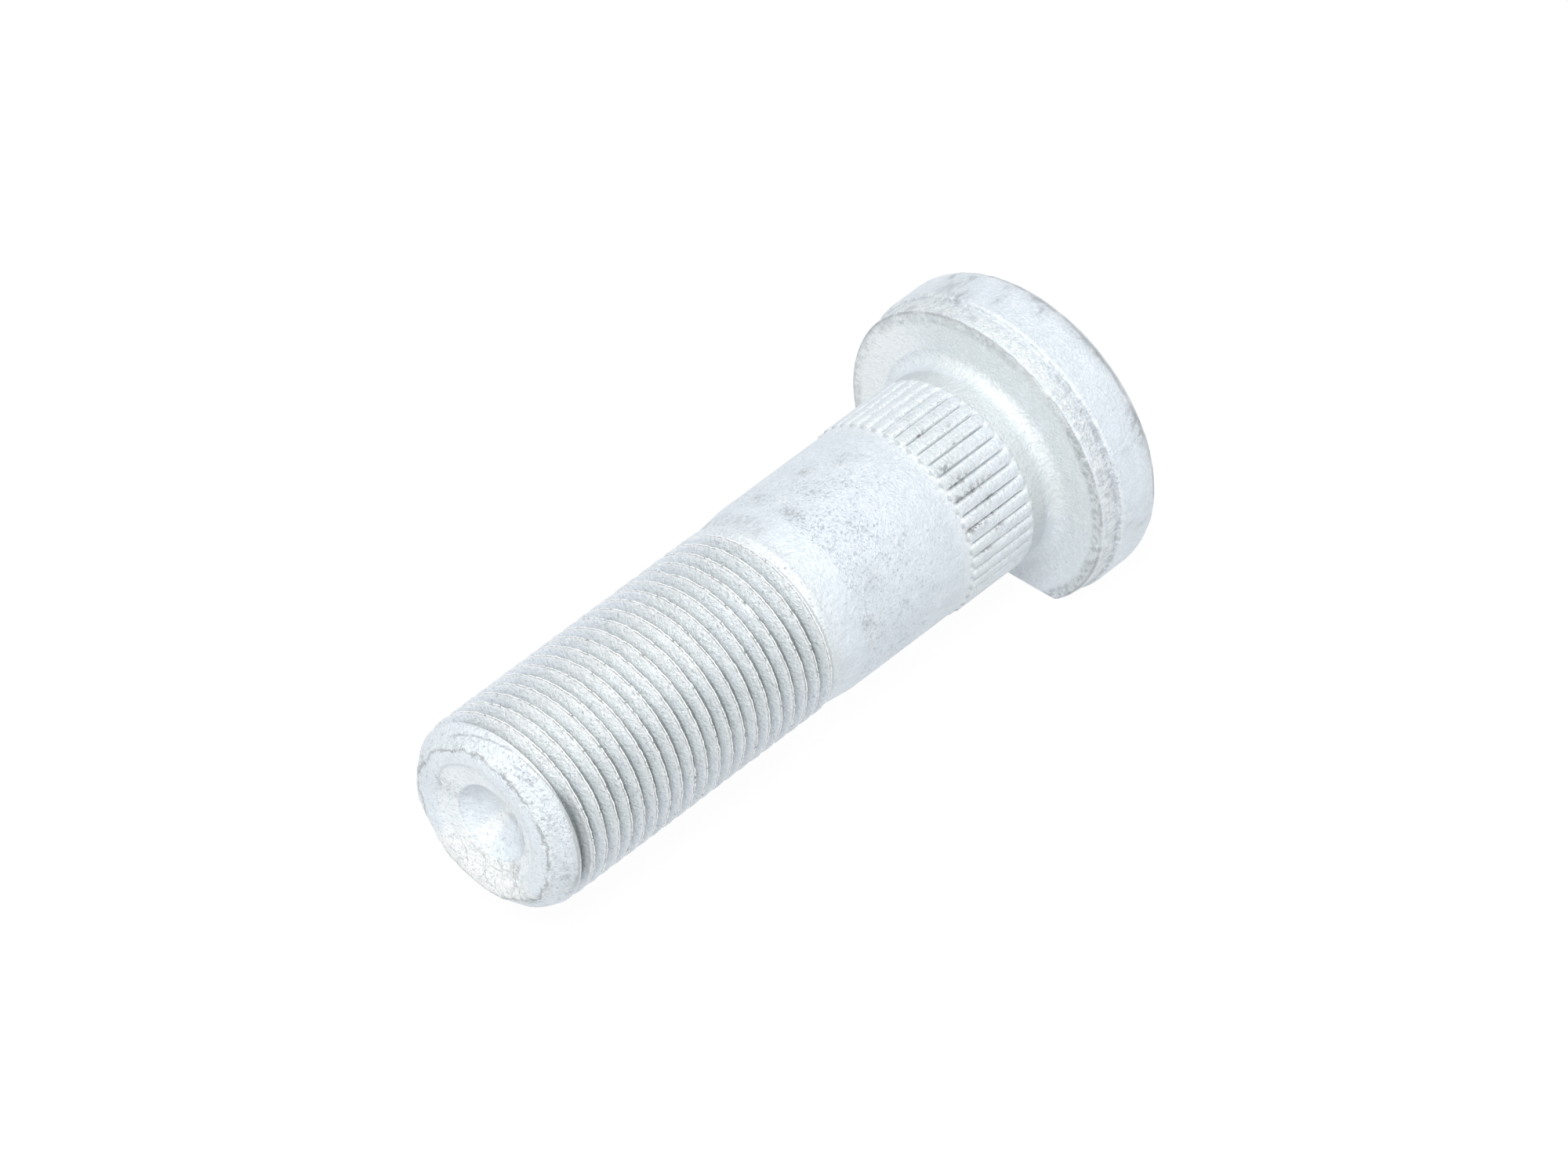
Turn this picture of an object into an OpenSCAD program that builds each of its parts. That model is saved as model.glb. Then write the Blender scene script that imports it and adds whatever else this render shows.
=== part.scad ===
// Wheel bolt with a D-shaped head, forged and rolled from one piece of steel.
// All lengths are in millimetres. X runs along the bolt from the bearing face under the
// head (x = 0) to the threaded end. Z is up, and the flat of the head faces down.
// The bolt is pressed into a hub flange from behind: the knurl grips the hole, the
// bearing face stops it, the flat keeps it from turning, and the thread takes the nut.

/* [Overall] */

// length from the bearing face to the crown of the threaded end
length = 60; // [50:1:90]

/* [Head] */

// diameter of the wide band round the head
head_d = 28.6; // [26.5:0.1:32]
// thickness of the head
head_h = 7.6; // [6:0.1:11]
// radius of the rounded edge at the back of the head
back_round = 2.2; // [0.5:0.1:3]
// how far the narrow front band is set in from the wide band, per side
rim_step = 0.35; // [0.15:0.05:0.8]
// height of the narrow front band
rim_h = 2; // [1:0.1:2.8]
// bevel on the front edge and on the step between the two bands
edge_break = 0.25; // [0.1:0.05:0.5]
// distance of the flat from the axis of the bolt
flat_dist = 11; // [10.6:0.1:12]
// radius of the corners where the flat meets the round of the head
flat_round = 1.5; // [0.5:0.1:2.5]

/* [Shank] */

// diameter of the plain shank
shank_d = 18.15; // [18.1:0.05:19]
// radius of the fillet between the bearing face and the shank
root_round = 1.2; // [0.5:0.1:1.8]
// distance from the bearing face to the end of the plain shank
shank_len = 23.6; // [18:0.2:26]
// length of the taper from the plain shank to the thread
neck_len = 3; // [2:0.1:5]
// diameter at the thin end of that taper
neck_d = 17.5; // [16.8:0.05:17.7]

/* [Knurl] */

// number of lengthwise teeth
teeth = 44; // [36:1:52]
// height of the teeth above the plain shank
tooth_rise = 0.18; // [0.16:0.01:0.3]
// depth of the grooves between the teeth, from the crest
tooth_depth = 0.34; // [0.25:0.01:0.45]
// width of a groove at the crest
groove_w = 0.46; // [0.3:0.01:0.6]
// distance of the knurl from the bearing face
knurl_start = 3; // [2.4:0.1:4]
// length of the knurl
knurl_len = 7.7; // [6:0.1:12]

/* [Thread] */

// outside diameter of the thread
thread_d = 17.8; // [17.74:0.02:17.8]
// distance from one ridge of the thread to the next
pitch = 1.5; // [1.25:0.25:2]
// distance of the last groove from the crown of the threaded end
last_groove = 2.65; // [2.4:0.05:3.4]

/* [Threaded end] */

// length of the chamfer that leads into the thread
end_chamfer = 1.55; // [1:0.05:2.2]
// height of the rounded lip outside the chamfer's small end
lip_h = 0.3; // [0.1:0.05:0.6]
// width of the rounded lip, from the chamfer to its crown
lip_w = 1.2; // [0.6:0.1:1.6]
// depth of the dished end face at the rim of the centre dimple
dish_h = 0.6; // [0.2:0.05:0.9]
// diameter of the centre dimple
dimple_d = 7.1; // [4:0.1:8]
// depth of the centre dimple below its rim
dimple_h = 1.7; // [0.5:0.1:2.5]

/* [Hidden] */

$fn = 96;
head_r = head_d / 2;
rim_r = head_r - rim_step;
shank_r = shank_d / 2;
neck_r = neck_d / 2;
knurl_r = shank_r + tooth_rise;
root_r = knurl_r - tooth_depth;
knurl_end = knurl_start + knurl_len;
tooth_turn = 96.2;
thread_r = thread_d / 2;
thread_start = shank_len + neck_len;
// depth of a groove and width of its floor for a 60 degree thread
thread_depth = 0.6134 * pitch;
crest_w = pitch / 8;
floor_w = pitch - crest_w - 2 * thread_depth * tan(30);
grooves = floor((length - last_groove - thread_start - 0.35 * pitch) / pitch) + 1;
chamfer_end = length - lip_h;
end_r = thread_r - end_chamfer;
crown_r = end_r - lip_w;
dimple_r = dimple_d / 2;
steel = [0.80, 0.82, 0.84];
eps = 0.01;

// centre of a corner circle that touches the flat and runs out just past the round of the head
corner_x = flat_dist - flat_round;
reach_r = head_r + 0.03;
corner_y = sqrt(pow(reach_r - flat_round, 2) - pow(corner_x, 2));
touch_x = corner_x * reach_r / (reach_r - flat_round);

// Half section of the head as it was forged, before the flat is cut.
module head_section() {
    difference() {
        union() {
            translate([0, -head_h]) square([head_r, head_h - rim_h]);
            translate([0, -rim_h - eps]) square([rim_r, rim_h + eps]);
        }
        // rounded back edge
        translate([head_r - back_round, -head_h]) difference() {
            translate([0, -1]) square([back_round + 1, back_round + 1]);
            translate([0, back_round]) circle(r = back_round);
        }
        // bevel beside the bearing face
        polygon([[rim_r - edge_break, eps], [rim_r + eps, -edge_break], [rim_r + 1, 1]]);
        // sloping step between the two bands
        polygon([[rim_r + eps, -rim_h + eps], [head_r + eps, -rim_h - edge_break - rim_step],
                 [head_r + 1, -rim_h + 1]]);
    }
}

// Outline that keeps the round of the head and its flat with two rounded corners.
module flat_outline() {
    translate([-head_r - 2, -head_r - 2]) square([head_r + 2 + touch_x, 2 * head_r + 4]);
    translate([0, -corner_y]) square([flat_dist, 2 * corner_y]);
    for (side = [-1, 1]) translate([corner_x, side * corner_y]) circle(r = flat_round);
}

// The D-shaped head: a turned disc with two bands and one flat.
module head() {
    color(steel) intersection() {
        rotate_extrude() head_section();
        translate([0, 0, -head_h - 1]) linear_extrude(head_h + 2) flat_outline();
    }
}

// Concave fillet that carries the load from the bearing face into the shank.
module root_fillet() {
    color(steel) rotate_extrude() difference() {
        translate([0, -eps]) square([shank_r + root_round, root_round + eps]);
        translate([shank_r + root_round, root_round]) circle(r = root_round);
    }
}

// Section across the knurl: straight grooves cut into a round.
module tooth_section() {
    difference() {
        circle(r = knurl_r);
        for (i = [0:teeth - 1]) rotate(tooth_turn + i * 360 / teeth) polygon([
            [knurl_r + 0.2, groove_w / 2 + 0.2 * groove_w / 2 / tooth_depth],
            [knurl_r - tooth_depth, 0],
            [knurl_r + 0.2, -groove_w / 2 - 0.2 * groove_w / 2 / tooth_depth]]);
    }
}

// Knurled length: the teeth stand a little proud of the shank, and both their ends are bevelled.
module knurl() {
    bevel = 1.6 * tooth_rise;
    color(steel) intersection() {
        translate([0, 0, knurl_start]) linear_extrude(knurl_len) tooth_section();
        rotate_extrude() polygon([
            [0, knurl_start], [shank_r, knurl_start],
            [knurl_r, knurl_start + bevel], [knurl_r + 0.1, knurl_start + bevel],
            [knurl_r + 0.1, knurl_end - bevel], [knurl_r, knurl_end - bevel],
            [shank_r, knurl_end], [0, knurl_end]]);
    }
}

// Plain shank on both sides of the knurl, with the sloping ends of the knurl's grooves,
// and the taper that leads down to the thread.
module shank() {
    slope = 2 * tooth_depth;
    color(steel) rotate_extrude() {
        polygon([
            [0, -eps], [shank_r, -eps], [shank_r, knurl_start + 0.1],
            [root_r - 0.1, knurl_start + 0.1 + slope], [0, knurl_start + 0.1 + slope]]);
        polygon([
            [0, knurl_end - 0.1 - slope], [root_r - 0.1, knurl_end - 0.1 - slope],
            [shank_r, knurl_end - 0.1], [shank_r, shank_len],
            [neck_r, thread_start], [0, thread_start]]);
    }
}

// Half section of the threaded end before the thread is rolled: chamfer, rounded lip,
// dished face and centre dimple.
module end_section() {
    polygon([
        [0, thread_start - eps], [neck_r, thread_start - eps], [neck_r, thread_start],
        [thread_r, thread_start + (thread_r - neck_r) * 1.5],
        [thread_r, chamfer_end - end_chamfer], [end_r, chamfer_end],
        [end_r - 0.35 * lip_w, length - 0.3 * lip_h], [crown_r, length],
        [crown_r - 0.5 * (crown_r - dimple_r), length - 0.62 * dish_h],
        [dimple_r + 0.15, length - dish_h], [dimple_r - 0.15, length - dish_h - 0.12],
        [0.25 * dimple_r, length - dish_h - dimple_h + 0.12],
        [0, length - dish_h - dimple_h]]);
}

// Section of one groove of the thread, sunk by a share of the full depth. Its walls stand
// 60 degrees apart on a narrow floor.
module groove_section(share) {
    sink = share * thread_depth;
    flare = (sink + 0.3) * tan(30);
    polygon([
        [thread_r - sink, -floor_w / 2], [thread_r + 0.3, -floor_w / 2 - flare],
        [thread_r + 0.3, floor_w / 2 + flare], [thread_r - sink, floor_w / 2]]);
}

// Threaded length. Its ridges have the section, depth and spacing of the rolled thread as
// rings, and the grooves get shallower at the shank, where the rolling dies run out.
module threaded_end() {
    color(steel) rotate_extrude() difference() {
        end_section();
        for (i = [0:grooves - 1])
            translate([0, length - last_groove - i * pitch])
                groove_section(i == grooves - 1 ? 0.35 : i == grooves - 2 ? 0.8 : 1);
    }
}

module wheel_bolt() {
    rotate([0, 90, 0]) union() {
        head();
        root_fillet();
        shank();
        knurl();
        threaded_end();
    }
}

wheel_bolt();
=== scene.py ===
# %% [markdown]
# # A wheel bolt, forged, rolled and coated
# The solids of this part give the exact sizes. This script gives the bolt its true skin:
# the one helix of the thread, the finger-shaped teeth of the knurl, the uneven skin of a
# forging and a thin pale zinc coat. Everything is in the same frame as the solids: X runs
# along the bolt from the bearing face to the threaded end, Z is up.

# %% Load the frame
import math
import bmesh
import bpy
from mathutils import Matrix, Vector, noise


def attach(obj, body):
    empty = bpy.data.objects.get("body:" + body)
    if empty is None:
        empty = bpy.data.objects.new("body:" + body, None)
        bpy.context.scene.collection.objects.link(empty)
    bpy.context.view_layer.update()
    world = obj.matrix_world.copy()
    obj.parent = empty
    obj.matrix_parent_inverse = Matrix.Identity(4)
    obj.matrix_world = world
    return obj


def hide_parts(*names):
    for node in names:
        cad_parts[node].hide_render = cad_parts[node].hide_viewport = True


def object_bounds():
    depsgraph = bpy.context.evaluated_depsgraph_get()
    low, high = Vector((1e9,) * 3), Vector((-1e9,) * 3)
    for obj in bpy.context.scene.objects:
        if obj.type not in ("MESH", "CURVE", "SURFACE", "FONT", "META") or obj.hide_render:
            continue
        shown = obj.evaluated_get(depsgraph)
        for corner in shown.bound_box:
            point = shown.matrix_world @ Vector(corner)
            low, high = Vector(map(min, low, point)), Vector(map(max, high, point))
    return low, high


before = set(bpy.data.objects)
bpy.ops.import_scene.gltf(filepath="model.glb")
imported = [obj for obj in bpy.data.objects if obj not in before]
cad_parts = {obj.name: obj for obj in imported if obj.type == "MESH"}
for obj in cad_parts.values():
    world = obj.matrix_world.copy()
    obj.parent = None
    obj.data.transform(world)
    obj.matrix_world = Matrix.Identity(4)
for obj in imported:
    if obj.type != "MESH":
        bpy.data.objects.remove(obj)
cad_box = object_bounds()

print("solids:", list(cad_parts))

# %% [markdown]
# ## Sizes
# The bolt is a turned form almost everywhere, so each piece of skin is a line of (x, r)
# points that is spun round the axis. Lengths are in millimetres until the mesh is done. The
# outer ones are read from the box of the solids, so that the skin fits them.
# The circle has seven steps for each of the 44 teeth, so every tooth is cut alike.

# %% Sizes in millimetres
lowest, highest = [[round(c * 1000, 2) for c in corner] for corner in cad_box]
HEAD_H, LENGTH = -lowest[0], highest[0]     # reach of the head and of the threaded end
HEAD_R, FLAT = highest[2], -lowest[2]       # wide band of the head, and its flat
RIM_R, BACK_ROUND = 13.95, 2.2              # narrow band, and the rounded back edge
FLAT_ROUND = 1.5                            # corners where the flat meets the round
SHANK_R, ROOT_ROUND = 9.075, 1.2            # plain shank, and its fillet under the head
KNURL_R, ROOT_R = 9.25, 8.9                 # tops of the teeth, and floors between them
KNURL_FROM, KNURL_TO = 3.0, 10.7
TEETH, PER_TOOTH = 44, 7
STEPS = TEETH * PER_TOOTH
TAPER_FROM, TAPER_R = 23.6, 8.75            # start and thin end of the taper to the thread
THREAD_R, PITCH, DEPTH = 8.9, 1.5, 0.92     # crest, spacing and depth of the thread
THREAD_FROM, CHAMFER_TO = 26.5, 59.4
FIRST = math.radians(6.14)                  # one groove of the knurl lies at this angle
print("head:", HEAD_R, HEAD_H, FLAT, "length:", LENGTH, "steps round the bolt:", STEPS)

# %% [markdown]
# ## Head, neck and shank
# The real head is upset from the bar in a die and then trimmed flat on one side. It could
# be made from a cylinder with bevels, but a spun line gives full control over the step
# between the two bands, the fillet and the rings of points that the knurl needs.


# %% Arcs and the spin
def arc(cx, cr, radius, a0, a1, count):
    """Points of an arc in the (x, r) plane, angles in degrees."""
    return [(cx + radius * math.cos(math.radians(a0 + (a1 - a0) * i / count)),
             cr + radius * math.sin(math.radians(a0 + (a1 - a0) * i / count)))
            for i in range(count + 1)]


def lathe(bm, line):
    """Spins a line of (x, r) points once round the axis of the bolt."""
    out = Vector((0, math.cos(FIRST), math.sin(FIRST)))
    verts = [bm.verts.new(Vector((x, 0, 0)) + out * r) for x, r in line]
    edges = [bm.edges.new(pair) for pair in zip(verts, verts[1:])]
    bmesh.ops.spin(bm, geom=verts + edges, cent=(0, 0, 0), axis=(1, 0, 0), dvec=(0, 0, 0),
                   angle=2 * math.pi, steps=STEPS, use_merge=True, use_duplicate=False)


# %% Draw the line of the head
back = [(-HEAD_H, r) for r in (0, 4, 8, 10.5)]
back += arc(-HEAD_H + BACK_ROUND, HEAD_R - BACK_ROUND, BACK_ROUND, 180, 90, 9)
wide = [(-5.0 + 0.4 * i, HEAD_R) for i in range(6)]
wide += [(x, HEAD_R) for x in (-2.75, -2.6, -2.45)]
drop = [(-2.32, HEAD_R - 0.04), (-2.2, HEAD_R - 0.18), (-2.1, RIM_R + 0.03)]
narrow = [(-2.0 + 0.2 * i, RIM_R) for i in range(9)]
narrow += [(-0.25, RIM_R - 0.01), (-0.12, RIM_R - 0.09), (-0.03, RIM_R - 0.19), (0, RIM_R - 0.3)]
face = [(0, r) for r in (13.4, 13.1, 12.7, 12.3, 11.9, 11.5, 11.1, 10.75, 10.5)]
head = back + wide + drop + narrow + face
print("line of the head:", len(head), "points")

# %% Draw the line of the neck and the shank
fillet = arc(ROOT_ROUND, SHANK_R + ROOT_ROUND, ROOT_ROUND, 180, 270, 9)
neck = [(x, SHANK_R) for x in (1.6, 2.0, 2.4, 2.7, 2.9)]
# the rings lie close together at the tips of the teeth, where they turn in
tips = [0.0, 0.05, 0.12, 0.22, 0.34, 0.48, 0.66, 0.86]
middle = KNURL_TO - KNURL_FROM - 2 * tips[-1]
teeth = [(KNURL_FROM + t, SHANK_R) for t in tips]
teeth += [(KNURL_FROM + tips[-1] + middle * i / 14, SHANK_R) for i in range(1, 14)]
teeth += [(KNURL_TO - t, SHANK_R) for t in reversed(tips)]
shank = [(x, SHANK_R) for x in (10.85, 11.2, 11.8)]
shank += [(12.4 + 0.7 * i, SHANK_R) for i in range(16)]
shank += [(TAPER_FROM - 0.25, SHANK_R), (TAPER_FROM, SHANK_R - 0.01)]
bend_x, bend_r = TAPER_FROM + 0.3, SHANK_R - 0.04
fall = (bend_r - TAPER_R) / (THREAD_FROM - bend_x)
taper = [(x, bend_r - fall * (x - bend_x)) for x in (bend_x, 24.3, 24.8, 25.4, 26.0, THREAD_FROM)]

# %% Spin the head, the neck and the shank
body = bmesh.new()
lathe(body, head + fillet + neck + teeth + shank + taper)
print("head, neck and shank:", len(body.verts), "points")

# %% [markdown]
# ## The flat of the head
# One side of the head is trimmed flat, so that a shoulder on the hub can hold the bolt. A
# plane cut would leave sharp corners; moving every point that lies outside the D-shaped
# outline back to it keeps the rings closed and gives the rounded corners of the real flat.


# %% The D-shaped outline
def smooth(t):
    """A soft step from 0 to 1."""
    t = max(0.0, min(1.0, t))
    return t * t * (3 - 2 * t)


def d_outline(y, z):
    """How far out the D-shaped outline of the head lies in the direction (y, z)."""
    n = math.hypot(y, z)
    side, down = abs(y) / n, -z / n
    if down <= 0:
        return HEAD_R + 1
    reach = HEAD_R + 0.03 - FLAT_ROUND
    corner_z = FLAT - FLAT_ROUND
    corner_y = math.sqrt(reach ** 2 - corner_z ** 2)
    if FLAT / down * side <= corner_y:
        return FLAT / down
    if side * corner_z > down * corner_y:
        return HEAD_R + 1
    nearest = side * corner_y + down * corner_z
    return nearest + math.sqrt(nearest ** 2 - reach ** 2 + FLAT_ROUND ** 2)


# %% Trim the head to its flat
trimmed = 0
for v in body.verts:
    r = math.hypot(v.co.y, v.co.z)
    if v.co.x <= 1e-6 and r > 5:
        # both long edges of the flat are eased a little
        ease = 0.18 * smooth(1 + v.co.x / 0.2) + 0.12 * smooth(1 - (v.co.x + HEAD_H) / 0.15)
        limit = d_outline(v.co.y, v.co.z) - ease
        if r > limit:
            v.co.y *= limit / r
            v.co.z *= limit / r
            trimmed += 1
print("points moved to the flat:", trimmed)

# %% [markdown]
# ## Paint on the points
# The finish has to know where the metal is low, worn or chalky, where it gets painted shade, and
# where it gets painted highlights. Images could say it, but a number on each point needs no
# unwrapping and moves with the mesh, so every effect has its own layer of numbers from 0 to 1.
# Later the material reads each layer by its name. The layer of low places gives painted shade
# in roots and grooves, the crest layer a painted highlight, one more layer painted shade and a
# few lines, and the white layer chalk and painted highlights.

# %% Layers of paint
PAINTS = ("low", "crest", "seam", "edge", "white", "rough", "wear", "dull")


def paint_layers(bm):
    """Gives each point a number for every effect that the finish reads."""
    for name in PAINTS:
        if name not in bm.verts.layers.float:
            bm.verts.layers.float.new(name)
    return [bm.verts.layers.float[name] for name in PAINTS]


low, crest, seam, edge, white, rough, wear, dull = paint_layers(body)
print("layers:", PAINTS)

# %% [markdown]
# ## The knurl
# A rolling die presses 44 lengthwise grooves into the neck, and the metal between them
# rises into fingers with rounded ends. The seven points across each tooth are slid round
# the axis and lifted, so that two of them always follow the edge of a finger. Grooves cut
# with a Boolean would do too, but they would leave long thin faces and sharp ends.

# %% Where the points of a tooth go
TIP = 0.66                          # length of a finger's rounded end
# degrees from the middle of the groove along the finger, and what the rounded end adds
ACROSS = {0: (0.0, 0.0), 1: (0.34, 2.7), 2: (0.95, 2.5), 3: (2.6, 1.1)}


def tooth_place(x, slot):
    """Angle from the groove's middle in degrees and radius of one of the seven points."""
    inside = min(x - KNURL_FROM, KNURL_TO - x)
    if inside < -1e-6 or slot == 0 and inside < 0.04:
        return slot * 360 / STEPS, SHANK_R
    turn_in = 0.0 if inside > TIP else 1 - math.sqrt(1 - (1 - inside / TIP) ** 2)
    from_middle, added = ACROSS[abs(slot)]
    angle = from_middle + added * turn_in
    floor = ROOT_R + (SHANK_R - ROOT_R) * smooth(1 - inside / 0.9)
    height = {0: floor, 1: floor + 0.05, 2: KNURL_R - 0.11, 3: KNURL_R + 0.01}[abs(slot)]
    if abs(slot) > 1:
        height = SHANK_R + (height - SHANK_R) * smooth(inside / 0.13)
    return math.copysign(angle, slot), height


# %% Press the knurl
for v in body.verts:
    x = v.co.x
    inside = min(x - KNURL_FROM, KNURL_TO - x)
    if inside > -0.01:
        step = round((math.atan2(v.co.z, v.co.y) - FIRST) * STEPS / (2 * math.pi))
        slot = (step + PER_TOOTH // 2) % PER_TOOTH - PER_TOOTH // 2
        off, r = tooth_place(x, slot)
        a = FIRST + (step - slot) * 2 * math.pi / STEPS + math.radians(off)
        v.co.y, v.co.z = r * math.cos(a), r * math.sin(a)
        in_groove, on_side = abs(slot) < 2, abs(slot) == 2
        # the grooves get painted shade, one row of points along each side of a tooth a painted highlight,
        # and the ends of the teeth a painted outline of shade; the grooves are whiter near the tips
        v[low] = 0.885 * smooth((inside - 0.2) / 0.35) if in_groove else 0.0
        v[crest] = 0.6 * smooth(inside / 0.2) if on_side else 0.0
        v[edge] = 1.0 if not in_groove and inside < 0.13 else 0.0
        v[white] = 0.4 * smooth((0.6 - inside) / 0.4) if in_groove else 0.0
    elif 2.8 < x < KNURL_FROM or KNURL_TO < x < 11.3:
        v[white] = 0.18
print("teeth:", TEETH)

# %% [markdown]
# ## The thread
# The thread is rolled: one right-hand groove that winds 21 times round the bolt. It could
# be rings, as in the solids, but the real one climbs. The spin operator can move along the
# axis while it turns, so a saw-toothed line of ridges that moves by one pitch in one turn
# makes the whole helix, and each ridge meets the next.

# %% Wind the thread
# one ridge: distance along the pitch, and height from the crest, with a seam along its top
SEAM_H = -0.035
RIDGE = [(0, -DEPTH), (0.14, -0.87), (0.50, -0.20), (0.61, 0.0),
         (0.75, SEAM_H), (0.89, 0.0), (1.00, -0.20), (1.36, -0.87)]
GROOVE_AT = 55.64 + PITCH * math.degrees(FIRST) / 360     # floor of one turn of the groove

thread = bmesh.new()
out = Vector((0, math.cos(FIRST), math.sin(FIRST)))
points = [thread.verts.new(Vector((GROOVE_AT + k * PITCH + along, 0, 0)) + out * (THREAD_R + h))
          for k in range(-21, 4) for along, h in RIDGE]
edges = [thread.edges.new(pair) for pair in zip(points, points[1:])]
bmesh.ops.spin(thread, geom=points + edges, cent=(0, 0, 0), axis=(1, 0, 0),
               dvec=(PITCH / STEPS, 0, 0), angle=2 * math.pi, steps=STEPS,
               use_merge=False, use_duplicate=False)
print("wound:", len(thread.verts), "points")

# %% [markdown]
# The dies run out at the shank, so the groove fades there, and at the other end the ridges
# stop at the chamfer of the blank. Points beyond either end gather on one ring and merge.

# %% Fade the thread at the shank and cut it at the chamfer
low, crest, seam, edge, white, rough, wear, dull = paint_layers(thread)
for v in thread.verts:
    r = math.hypot(v.co.y, v.co.z)
    depth = r - THREAD_R
    x = min(max(v.co.x, THREAD_FROM), CHAMFER_TO)
    full = smooth((x - 26.7) / 1.7) * smooth((58.7 - x) / 0.6)
    base = TAPER_R + (THREAD_R - TAPER_R) * smooth((x - THREAD_FROM) / 1.1)
    rolled = base + depth * full
    cone = THREAD_R - max(x - 58.15, 0.2 * smooth((x - 57.3) / 0.8))
    kept = full if rolled <= cone else 0.0
    # the roots get painted shade, deeper towards the floor, and the crests a painted highlight
    v[low] = min(1.0, -depth / DEPTH) * kept
    v[crest] = max(0.0, 1 - abs(depth) / 0.2) * kept
    v[seam] = kept if abs(depth - SEAM_H) < 0.005 else 0.0
    if abs(depth) < 0.005:
        # the side of the crest that looks to the head gets a stronger painted highlight, the other side a
        # weaker one
        a = (math.atan2(v.co.z, v.co.y) - FIRST) / (2 * math.pi)
        v[crest] *= 1.5 if (v.co.x - GROOVE_AT - PITCH * a) % PITCH < 0.75 else 0.35
    v[rough] = 0.08 * smooth((x - 58.0) / 0.6)
    new = min(rolled, cone)
    v.co = Vector((x, v.co.y * new / r, v.co.z * new / r))
bmesh.ops.remove_doubles(thread, verts=thread.verts, dist=0.001)
print("thread:", len(thread.verts), "points")

# %% [markdown]
# ## The threaded end
# Cutting and rolling leave a rounded lip round a slightly dished face, and the centre has
# a shallow dimple. It is one more spun line, which starts on the last ring of the chamfer.

# %% Spin the lip, the dished face and the dimple
tip = bmesh.new()
lip = [(CHAMFER_TO, 7.65), (59.55, 7.5), (59.68, 7.35), (59.76, 7.18), (59.85, 7.02), (59.93, 6.8),
       (59.98, 6.5), (LENGTH, 6.2), (59.995, 5.95), (59.98, 5.7), (59.95, 5.5)]
dish = [(59.88, 5.36), (59.8, 5.26), (59.74, 5.1), (59.66, 4.8), (59.58, 4.45), (59.51, 4.1),
        (59.46, 3.85), (59.43, 3.72), (59.36, 3.62)]
dimple = [(59.2, 3.5), (58.96, 3.25), (58.62, 2.8), (58.27, 2.2), (57.98, 1.55), (57.78, 0.9), (57.7, 0)]
lathe(tip, lip + dish + dimple)
print("threaded end:", len(tip.verts), "points")

# %% [markdown]
# ## One closed skin
# The bolt is one piece of metal, so its skin is one closed surface. The rings of the three
# parts lie on each other, so merging their points closes it, and no Boolean is needed.

# %% Join the three parts of the skin
for part in (body, tip):
    mesh = bpy.data.meshes.new("part")
    part.to_mesh(mesh)
    thread.from_mesh(mesh)
    part.free()
    bpy.data.meshes.remove(mesh)
skin = thread
bmesh.ops.remove_doubles(skin, verts=skin.verts, dist=0.001)
bmesh.ops.dissolve_degenerate(skin, edges=skin.edges, dist=0.0005)
bmesh.ops.recalc_face_normals(skin, faces=skin.faces)
open_edges = sum(not e.is_manifold for e in skin.edges)
print("joined:", len(skin.verts), "points,", len(skin.faces), "faces, open edges:", open_edges)

# %% [markdown]
# ## Where the coat is marked, and where light and shade are painted
# Handling and rolling leave marks at certain places, and the light from above falls unevenly
# round the bolt, so painted shade and painted highlights go on certain places too; those places
# make this bolt look like the real one. They could be painted by hand; here they are short
# lists and formulas of a place along the bolt (x), a distance from the axis (r) and an angle round it
# (turn).

# %% Measure places on the skin
TOP = 52.1                          # the side of the bolt that looks up at the viewer


def turn_from_top(p):
    """Angle of a point round the axis in degrees from the top side, -180 to 180."""
    return (math.degrees(math.atan2(p.z, p.y)) - TOP + 180) % 360 - 180


def near(turn, middle, reach, fade):
    """1 round one angle, and softly down to 0 over the last degrees of its reach."""
    away = abs((turn - middle + 180) % 360 - 180)
    return smooth((reach - away) / fade)


def band(value, middle, half):
    """1 at the middle of a band and softly down to 0 at its two sides."""
    return smooth(1 - abs(value - middle) / half)


def strongest(places, x, turn, cut=math.inf):
    """The strongest of many soft round patches at one point."""
    found = 0.0
    for at_x, at_turn, half_x, half_turn, force in places:
        if abs(x - at_x) < cut * half_x:
            spread = ((x - at_x) / half_x) ** 2 + ((turn - at_turn) / half_turn) ** 2
            found = max(found, force * math.exp(-spread))
    return found


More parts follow.
